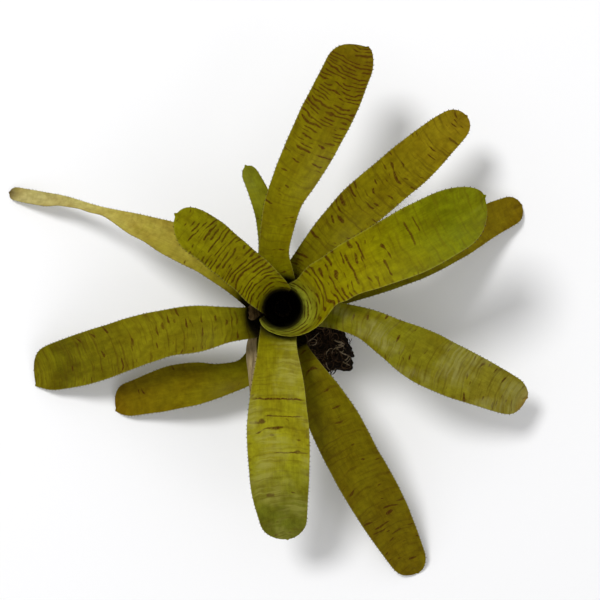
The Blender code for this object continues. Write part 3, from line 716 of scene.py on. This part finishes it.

# Looks of each leaf. tones: ground colour from the tube to the tip. density: how many dark bands, from
# the tube to the tip. frequency: bands in a centimetre. faint: strength of the faint bands. scurf and
# sheen: strength of the pale film of scales, which is partly a painted sheen. bars: the clearest dark bars,
# as leaf_skin takes them.
SKINS = {
    "leaf_upper_left_inner": dict(
        tones=[(0.0, (0.21, 0.190, 0.002)), (0.5, (0.235, 0.208, 0.002)), (1.0, (0.20, 0.19, 0.003))],
        density=[(0.0, 1.0), (0.5, 1.0), (0.8, 0.5), (1.0, 0.3)], seed=1.0, frequency=2.4, scurf_and_sheen=0.12),
    "leaf_right_inner": dict(
        # The pale first stops at the lip of the tube are painted light, standing in for light through the
        # leaf
        tones=[(0.0, (0.26, 0.28, 0.03)), (0.05, (0.23, 0.23, 0.015)), (0.12, (0.195, 0.172, 0.001)),
               (0.4, (0.205, 0.182, 0.001)), (0.8, (0.135, 0.148, 0.001)), (1.0, (0.14, 0.148, 0.003))],
        density=[(0.0, 1.0), (0.27, 1.0), (0.42, 0.35), (0.7, 0.0), (1.0, 0.05)],
        seed=2.0, frequency=2.1, scurf_and_sheen=0.2,
        bars=[(5.5, 0.48, 0.36, 0.12, 1.0), (6.7, 0.74, 0.20, 0.11, 1.0), (7.0, 0.12, 0.09, 0.09, 1.0),
              (10.6, 0.62, 0.22, 0.12, 0.9), (11.4, 0.70, 0.14, 0.09, 0.8)]),
    "leaf_bottom": dict(
        # The lighter middle is partly a painted sheen; the tones get darker towards the tip
        tones=[(0.0, (0.175, 0.155, 0.002)), (0.5, (0.265, 0.245, 0.010)), (0.8, (0.130, 0.135, 0.010)),
               (1.0, (0.125, 0.130, 0.012))],
        density=[(0.0, 0.05), (0.3, 0.22), (0.5, 0.12), (1.0, 0.22)], seed=3.0, frequency=1.6, scurf_and_sheen=0.6,
        film_and_sheen_colour=(0.36, 0.34, 0.07),
        bars=[(4.55, 0.50, 0.50, 0.09, 1.0), (5.85, 0.60, 0.34, 0.07, 0.9), (6.3, 0.12, 0.10, 0.13, 1.0),
              (8.8, 0.70, 0.30, 0.07, 0.9), (12.6, 0.32, 0.08, 0.25, 0.9)]),
    "leaf_top": dict(
        tones=[(0.0, (0.165, 0.148, 0.001)), (0.5, (0.168, 0.138, 0.002)), (0.8, (0.134, 0.100, 0.001)),
               (1.0, (0.140, 0.095, 0.002))],
        density=[(0.0, 0.12), (0.4, 0.38), (0.62, 0.85), (0.9, 1.0), (1.0, 0.7)],
        seed=4.0, frequency=2.9, scurf_and_sheen=0.1),
    "leaf_lower_right": dict(
        film_and_sheen_colour=(0.33, 0.31, 0.09),
        tones=[(0.0, (0.155, 0.150, 0.003)), (0.5, (0.185, 0.165, 0.008)), (0.8, (0.215, 0.185, 0.016)),
               (0.94, (0.20, 0.17, 0.016)), (1.0, (0.24, 0.14, 0.03))],
        density=[(0.0, 0.25), (0.4, 0.30), (1.0, 0.36)], seed=5.0, frequency=2.1, faint=0.5, scurf_and_sheen=0.5),
    "leaf_upper_right": dict(
        tones=[(0.0, (0.155, 0.135, 0.002)), (0.5, (0.182, 0.145, 0.002)), (1.0, (0.225, 0.158, 0.006))],
        density=[(0.0, 0.5), (0.5, 0.55), (1.0, 0.4)], seed=6.0, frequency=2.2, faint=0.6, scurf_and_sheen=0.1),
    "leaf_dry": dict(
        tones=[(0.0, (0.20, 0.165, 0.004)), (0.35, (0.32, 0.26, 0.05)), (0.5, (0.39, 0.32, 0.08)),
               (0.7, (0.42, 0.36, 0.15)), (0.95, (0.40, 0.34, 0.16)), (1.0, (0.08, 0.05, 0.03))],
        density=[(0.0, 0.1), (1.0, 0.0)], seed=7.0, faint=0.12, scurf_and_sheen=0.2),
    "leaf_left": dict(
        tones=[(0.0, (0.140, 0.122, 0.003)), (0.4, (0.165, 0.140, 0.004)), (0.85, (0.095, 0.080, 0.001)),
               (1.0, (0.115, 0.085, 0.002))],
        density=[(0.0, 0.6), (0.4, 0.42), (0.8, 0.25), (1.0, 0.1)],
        seed=8.0, frequency=2.1, faint=0.6, scurf_and_sheen=0.3),
    "leaf_right_lower": dict(
        tones=[(0.0, (0.135, 0.120, 0.002)), (0.5, (0.145, 0.120, 0.002)), (1.0, (0.160, 0.105, 0.002))],
        density=[(0.0, 0.1), (1.0, 0.1)], seed=9.0, faint=0.2, scurf_and_sheen=0.08),
    "leaf_bottom_right": dict(
        tones=[(0.0, (0.130, 0.110, 0.002)), (0.5, (0.135, 0.102, 0.002)), (1.0, (0.140, 0.098, 0.002))],
        density=[(0.0, 0.35), (0.5, 0.3), (1.0, 0.45)], seed=10.0, frequency=2.1, faint=0.45, scurf_and_sheen=0.12),
    "leaf_small": dict(
        tones=[(0.0, (0.150, 0.150, 0.006)), (0.6, (0.15, 0.15, 0.006)), (1.0, (0.15, 0.155, 0.01))],
        density=[(0.0, 0.1), (1.0, 0.1)], seed=11.0, faint=0.1, scurf_and_sheen=0.3),
    "leaf_lower_left": dict(
        tones=[(0.0, (0.145, 0.130, 0.002)), (0.5, (0.158, 0.122, 0.002)), (0.85, (0.156, 0.108, 0.002)),
               (1.0, (0.165, 0.10, 0.002))],
        density=[(0.0, 0.0), (1.0, 0.1)], seed=12.0, faint=0.15, scurf_and_sheen=0.08),
}

# The underside is duller and greener, has more film of scales and painted sheen, and less painted shade
# down the tube
UNDER_LOOKS = dict(bars=(), scurf_and_sheen=0.40, painted_shade_strength=0.30)


def under_tones(tones):
    return [(place, (0.85 * red + 0.018, 0.85 * green + 0.026, blue + 0.006))
            for place, (red, green, blue) in tones]


for name, leaf in LEAVES.items():
    looks = SKINS[name]
    top = leaf_skin(name + "_upper", **looks)
    under = leaf_skin(name + "_under", **{**looks, **UNDER_LOOKS, "tones": under_tones(looks["tones"])})
    build_leaf(name, leaf, top, under, tooth_skin)


# ------------------------------------------------------------------ stem, dry remnants, roots
STEM_RINGS = 60
STEM_SIDES = 64
SCAR_HEIGHT = 0.35
SCAR_PITCH = 6.4
SCAR_ROUGHNESS = 0.25


def build_stem():
    """The stem with a ridge for each leaf scar, and a top painted near black as shade where the tube ends.
    """
    heights = list(np.linspace(STEM_BOTTOM, BASE_TOP + STEM_OVERLAP, STEM_RINGS))
    verts = []
    for z in heights:
        ridge = SCAR_HEIGHT * math.cos(2.0 * math.pi * (z - STEM_BOTTOM) / SCAR_PITCH)
        for k in range(STEM_SIDES):
            angle = 2.0 * math.pi * k / STEM_SIDES
            spot = Vector((math.cos(angle) * 6.0, math.sin(angle) * 6.0, z * 0.5))
            rough = SCAR_ROUGHNESS * noise.noise(spot)
            r = stem_radius(z) + ridge + rough
            verts.append((r * math.cos(angle) * MM, r * math.sin(angle) * MM, z * MM))
    faces = ring_faces(STEM_RINGS, STEM_SIDES)
    bark = [(0.04, 0.025, 0.012), (0.13, 0.085, 0.04), (0.2, 0.14, 0.07)]
    skin = plain_skin("stem_skin", bark, 160.0, (1.0, 1.0, 3.0))
    # The top of the stem lies at the bottom of the tube and gets a near-black painted shade
    top_painted_shade = plain_skin("stem_top_painted_shade", [(0.001, 0.001, 0.001), (0.006, 0.004, 0.003)], 160.0)
    slots = [0] * (len(faces) - 1) + [1]
    add_piece("stem_fine", verts, faces, [skin, top_painted_shade], slots, "stem")


# The roots stay under the stem and the lowest sheaths: free height out to a radius, then a slope
CEILING_INNER = 17.0
CEILING_OUTER = 37.0
CEILING_SLOPE = 0.95
CEILING_OPEN = 34.0
CEILING_CLEARANCE = 1.0
CORE_CLEARANCE = 1.0
FOOT_STEP = 0.6
ROOT_GAP = 0.3
FLOOR_GAP = 0.4
ABOVE_ALL = 60.0
ROOT_SEED = 11
STANDING_ROOTS = 220
STANDING_STEPS = 14
LYING_ROOTS = 330
LYING_STEPS = 15
LYING_STRIDE = 1.25
SHORTEST_LYING = 5
THIN_ROOT = 0.3
ROOT_TAPER = 0.5
LOOP_STEPS = 40

# Numbers of the root materials
DARK, BROWN, PALE, TAN = range(4)

# Places of the pale root that loops over the right of the mass
LOOP = [(41.0, -26.0), (44.0, -27.6), (49.0, -29.2), (46.0, -31.6), (43.2, -31.8), (45.0, -35.0),
        (49.0, -37.7), (54.0, -40.0), (52.5, -43.0), (50.0, -45.2), (53.5, -46.8)]


def root_ceiling(x, y):
    r = math.hypot(x, y)
    if r < CEILING_INNER:
        return STEM_BOTTOM - CEILING_CLEARANCE
    if r < CEILING_OUTER:
        return STEM_BOTTOM - CEILING_CLEARANCE + (r - CEILING_INNER) * CEILING_SLOPE
    return CEILING_OPEN


def root_place(u, v):
    angle = math.radians(ROOT_TURN)
    a = ROOT_RADII[0] * u
    b = ROOT_RADII[1] * v
    return (ROOT_CENTRE[0] + a * math.cos(angle) - b * math.sin(angle),
            ROOT_CENTRE[1] + a * math.sin(angle) + b * math.cos(angle))


def tube(line, radius, taper, sides):
    """Vertices and faces of one root that follows the places in the line."""
    verts = []
    count = len(line)
    for i, spot in enumerate(line):
        along = (line[min(i + 1, count - 1)] - line[max(i - 1, 0)]).normalized()
        side = along.cross(UP).normalized()
        up = side.cross(along)
        thin = radius * (1.0 - taper * i / (count - 1.0))
        for k in range(sides):
            turn = 2.0 * math.pi * k / sides
            verts.append(tuple((spot + side * (thin * math.cos(turn)) + up * (thin * math.sin(turn))) * MM))
    return verts, ring_faces(count, sides)


def root_core():
    """The matted lump, flat where it rests and pressed down under the ceiling."""
    lump = bmesh.new()
    bmesh.ops.create_icosphere(lump, subdivisions=6, radius=1.0)
    for vert in lump.verts:
        p = vert.co
        # The flat foot takes its outline from the rim above it
        rim = p
        if p.z < ROOT_FLAT:
            rim = Vector((p.x, p.y, 0.0)).normalized() * math.sqrt(1.0 - ROOT_FLAT**2)
            rim.z = ROOT_FLAT
        big = 1.0 + 0.22 * noise.noise(rim * 2.1 + Vector((3.0, 7.0, 1.0))) + 0.10 * noise.noise(rim * 5.3)
        fine = 1.0 + 0.05 * noise.noise(rim * 14.0) + 0.03 * noise.noise(rim * 31.0)
        x, y = root_place(p.x * big * fine, p.y * big * fine)
        z = ROOT_CENTRE[2] + ROOT_RADII[2] * p.z * big * fine
        z = 0.0 if p.z < ROOT_FLAT else max(z, FOOT_STEP)
        top = root_ceiling(x, y) - CORE_CLEARANCE
        z = z / (1.0 + (z / top) ** 4) ** 0.25
        vert.co = Vector((x, y, z)) * MM
    return lump


def standing_root(draw, n):
    """One root that leaves the core and waves outward."""
    angle = math.radians(draw.uniform(-70.0, 45.0) if n % 3 else draw.uniform(0.0, 360.0))
    place = Vector((*root_place(0.62 * math.cos(angle), 0.62 * math.sin(angle)), draw.uniform(6.0, 20.0)))
    heading = angle + math.radians(ROOT_TURN)
    reach = draw.uniform(12.0, 24.0)
    bend = draw.uniform(-5.0, 5.0)
    lift = draw.uniform(-0.3, 1.3)
    radius = draw.uniform(0.3, 0.9)
    line = []
    stride = reach / (STANDING_STEPS - 1.0)
    for i in range(STANDING_STEPS):
        line.append(place.copy())
        heading += bend / STANDING_STEPS * 1.6 + draw.uniform(-0.25, 0.25)
        climb = lift * math.cos(math.pi * i / (STANDING_STEPS - 1.0))
        place = place + Vector((math.cos(heading), math.sin(heading), climb)) * stride
        place.z = clamp(place.z, radius + FLOOR_GAP, root_ceiling(place.x, place.y) - radius - ROOT_GAP)
    return line, radius, BROWN if n % 4 else DARK


def lying_root(draw, n, height):
    """One fine root that curls over the core, cut off where it leaves it."""
    angle = draw.uniform(0.0, 2.0 * math.pi)
    out = 0.95 * math.sqrt(draw.random())
    place = Vector((*root_place(out * math.cos(angle), out * math.sin(angle)), 0.0))
    heading = draw.uniform(0.0, 2.0 * math.pi)
    bend = draw.uniform(-0.45, 0.45)
    radius = draw.uniform(0.22, 0.62)
    hover = draw.uniform(0.0, 1.6)
    line = []
    for i in range(LYING_STEPS):
        ground = height(place.x, place.y)
        if ground is None:
            break
        arch = hover * math.sin(math.pi * i / (LYING_STEPS - 1.0))
        z = ground + 0.5 * radius + arch
        z = min(z, root_ceiling(place.x, place.y) - radius - ROOT_GAP)
        line.append(Vector((place.x, place.y, max(z, radius + FLOOR_GAP))))
        heading += bend + draw.uniform(-0.3, 0.3)
        place = place + Vector((math.cos(heading), math.sin(heading), 0.0)) * LYING_STRIDE
    if n % 14 == 3:
        return line, radius, PALE
    return line, radius, BROWN if n % 3 else TAN


def loop_root(shift, height):
    """One strand of the pale looping root."""
    knots = np.arange(len(LOOP), dtype=float)
    line = []
    for u in np.linspace(0.0, len(LOOP) - 1.0, LOOP_STEPS):
        x, y = hermite(knots, np.array(LOOP), u)
        x += shift
        y -= shift * 0.6
        ground = height(x, y)
        z = 6.0 if ground is None else ground + 1.2
        line.append(Vector((x, y, clamp(z, 4.0, 24.0) + shift)))
    return line, 0.75 - 0.2 * shift, PALE


def build_roots():
    """The matted core, roots that stand out of it and finer roots that curl over it."""
    draw = random.Random(ROOT_SEED)
    lump = root_core()
    surface = BVHTree.FromBMesh(lump)
    verts = [tuple(v.co) for v in lump.verts]
    faces = [tuple(v.index for v in f.verts) for f in lump.faces]
    lump.free()
    slots = [DARK] * len(faces)

    def height(x, y):
        found = surface.ray_cast(Vector((x, y, ABOVE_ALL)) * MM, DOWN)[0]
        return None if found is None else found.z / MM

    roots = [standing_root(draw, n) for n in range(STANDING_ROOTS)]
    lying = [lying_root(draw, n, height) for n in range(LYING_ROOTS)]
    roots += [root for root in lying if len(root[0]) > SHORTEST_LYING]
    roots += [loop_root(shift, height) for shift in (0.0, 1.7)]
    for line, radius, tint in roots:
        more, rings = tube(line, radius, ROOT_TAPER, 6 if radius > THIN_ROOT else 5)
        base = len(verts)
        verts += more
        faces += [tuple(base + v for v in ring) for ring in rings]
        slots += [tint] * len(rings)
    tints = {"root_dark": [(0.002, 0.0015, 0.001), (0.012, 0.007, 0.004)],
             "root_brown": [(0.006, 0.0035, 0.002), (0.034, 0.018, 0.009)],
             "root_pale": [(0.12, 0.085, 0.05), (0.38, 0.30, 0.20)],
             "root_tan": [(0.03, 0.017, 0.009), (0.12, 0.07, 0.038)]}
    skins = [plain_skin(name, colours, 500.0) for name, colours in tints.items()]
    add_piece("root_mass_fine", verts, faces, skins, slots, "root_mass")


RIBBON_COLUMNS = 28
RIBBON_ROWS = 60
RIBBON_HALF = 0.35
TORN_END = 2.0


def build_ribbon(name, stations, colours, node, seed):
    """A dry strip with lengthwise ribs and a torn end."""
    draw = random.Random(seed)
    knots = np.arange(len(stations), dtype=float)
    table = np.array([[*place, *across, *normal, half] for place, across, normal, half in stations])
    verts = []
    for i in range(RIBBON_ROWS + 1):
        x = (len(stations) - 1) * i / RIBBON_ROWS
        values = hermite(knots, table, x)
        place, across, normal, half = values[:3], values[3:6], values[6:9], values[9]
        for face in (1.0, -1.0):
            for c in range(RIBBON_COLUMNS + 1):
                t = 2.0 * c / RIBBON_COLUMNS - 1.0
                rough = noise.noise(Vector((t * 3.0, i * 0.2, seed)))
                rib = 0.35 * math.cos(t * math.pi * 2.0) + 0.12 * math.cos(t * 31.0) + 0.1 * rough
                verts.append((place + across * (half * t) + normal * (rib + RIBBON_HALF * face)) * MM)
    low = RIBBON_COLUMNS + 1
    stride = 2 * low
    for c in range(low):
        reach = draw.uniform(-TORN_END, TORN_END) * MM
        direction = Vector(verts[-1]) - Vector(verts[-1 - stride])
        direction = direction.normalized() * reach
        for j in (RIBBON_ROWS * stride + c, RIBBON_ROWS * stride + low + c):
            verts[j] = verts[j] + np.array(direction)
    faces = sheet_faces(RIBBON_ROWS, RIBBON_COLUMNS)[0]
    skin = plain_skin(name + "_skin", colours, 350.0, (1.0, 0.15, 1.0))
    add_piece(name, verts, faces, [skin], [0] * len(faces), node)


def build_dry_strap():
    # Rows of x, y, z and half width
    path = [(-20.2, -18.3, 61, 2.4), (-22.8, -21.6, 60.5, 2.8), (-24.6, -27, 59.5, 3.6),
            (-25.2, -34, 58, 4.2), (-25, -42, 57, 4.2), (-24.5, -52, 56, 3.4),
            (-24.3, -61, 54, 2.8), (-24.3, -70, 49, 2.2), (-24.3, -76, 43, 1.2)]
    stations = []
    for i, (x, y, z, half) in enumerate(path):
        a = Vector(path[max(i - 1, 0)][:3])
        b = Vector(path[min(i + 1, len(path) - 1)][:3])
        along = (b - a).normalized()
        across = along.cross(UP).normalized()
        normal = across.cross(along).normalized()
        stations.append((Vector((x, y, z)), -across, normal, half))
    straw = [(0.10, 0.07, 0.035), (0.33, 0.25, 0.13), (0.45, 0.36, 0.2)]
    build_ribbon("dry_leaf_strap_fine", stations, straw, "dry_leaf_strap", 5)


def build_dry_shred():
    # Rows of height, radius and half width
    levels = ((78, 15.6, 2.2), (92, 16.0, 2.6), (101, 17.6, 3.6), (109, 20.2, 5.6), (115, 22.4, 6.2),
              (120, 25.0, 4.5))
    azimuth = 188
    across = Vector((0.0, 1.0, 0.0))
    outward = Vector((-1.0, 0.0, 0.0))
    stations = [(polar(radius, azimuth, z), across, outward, half) for z, radius, half in levels]
    brown = [(0.012, 0.008, 0.003), (0.06, 0.034, 0.012), (0.16, 0.11, 0.045)]
    build_ribbon("dry_sheath_shred_fine", stations, brown, "dry_sheath_shred", 9)


build_stem()
build_roots()
build_dry_strap()
build_dry_shred()

# ------------------------------------------------------------------ floor, light, camera
FLOOR_HALF = 3
CAMERA_PLACE = (0.01404, 0.00624, 1.4)

floor_mesh = bpy.data.meshes.new("floor")
corners = [(-FLOOR_HALF, -FLOOR_HALF, 0), (FLOOR_HALF, -FLOOR_HALF, 0),
           (FLOOR_HALF, FLOOR_HALF, 0), (-FLOOR_HALF, FLOOR_HALF, 0)]
floor_mesh.from_pydata(corners, [], [(0, 1, 2, 3)])
floor = bpy.data.objects.new("floor", floor_mesh)
bpy.context.scene.collection.objects.link(floor)
paper = Skin("floor_white")
paper.shader.inputs["Base Color"].default_value = (0.93, 0.93, 0.94, 1.0)
paper.shader.inputs["Roughness"].default_value = 0.9
floor_mesh.materials.append(paper.material)


def area_light(name, place, target, size, power):
    data = bpy.data.lights.new(name, "AREA")
    data.shape = "DISK"
    data.size = size
    data.energy = power
    thing = bpy.data.objects.new(name, data)
    bpy.context.scene.collection.objects.link(thing)
    thing.location = place
    thing.rotation_mode = "QUATERNION"
    thing.rotation_quaternion = (Vector(target) - Vector(place)).to_track_quat("-Z", "Y")


area_light("key", place=(-0.85, 0.95, 2.6), target=(0.0, 0.0, 0.08), size=0.7, power=47.0)
area_light("fill", place=(1.6, -1.2, 2.2), target=(0.0, 0.0, 0.05), size=1.6, power=8.0)
world = bpy.data.worlds.new("studio")
bpy.context.scene.world = world
world.use_nodes = True
world.node_tree.nodes["Background"].inputs["Color"].default_value = (1.0, 1.0, 1.0, 1.0)
world.node_tree.nodes["Background"].inputs["Strength"].default_value = 0.53

camera_data = bpy.data.cameras.new("camera")
camera_data.sensor_width = 36.0
camera_data.lens = 100.0
camera_data.clip_start = 0.01
camera = bpy.data.objects.new("camera", camera_data)
bpy.context.scene.collection.objects.link(camera)
camera.location = CAMERA_PLACE
camera.rotation_euler = (0.0, 0.0, 0.0)
bpy.context.scene.camera = camera
bpy.context.scene.view_settings.view_transform = "Standard"
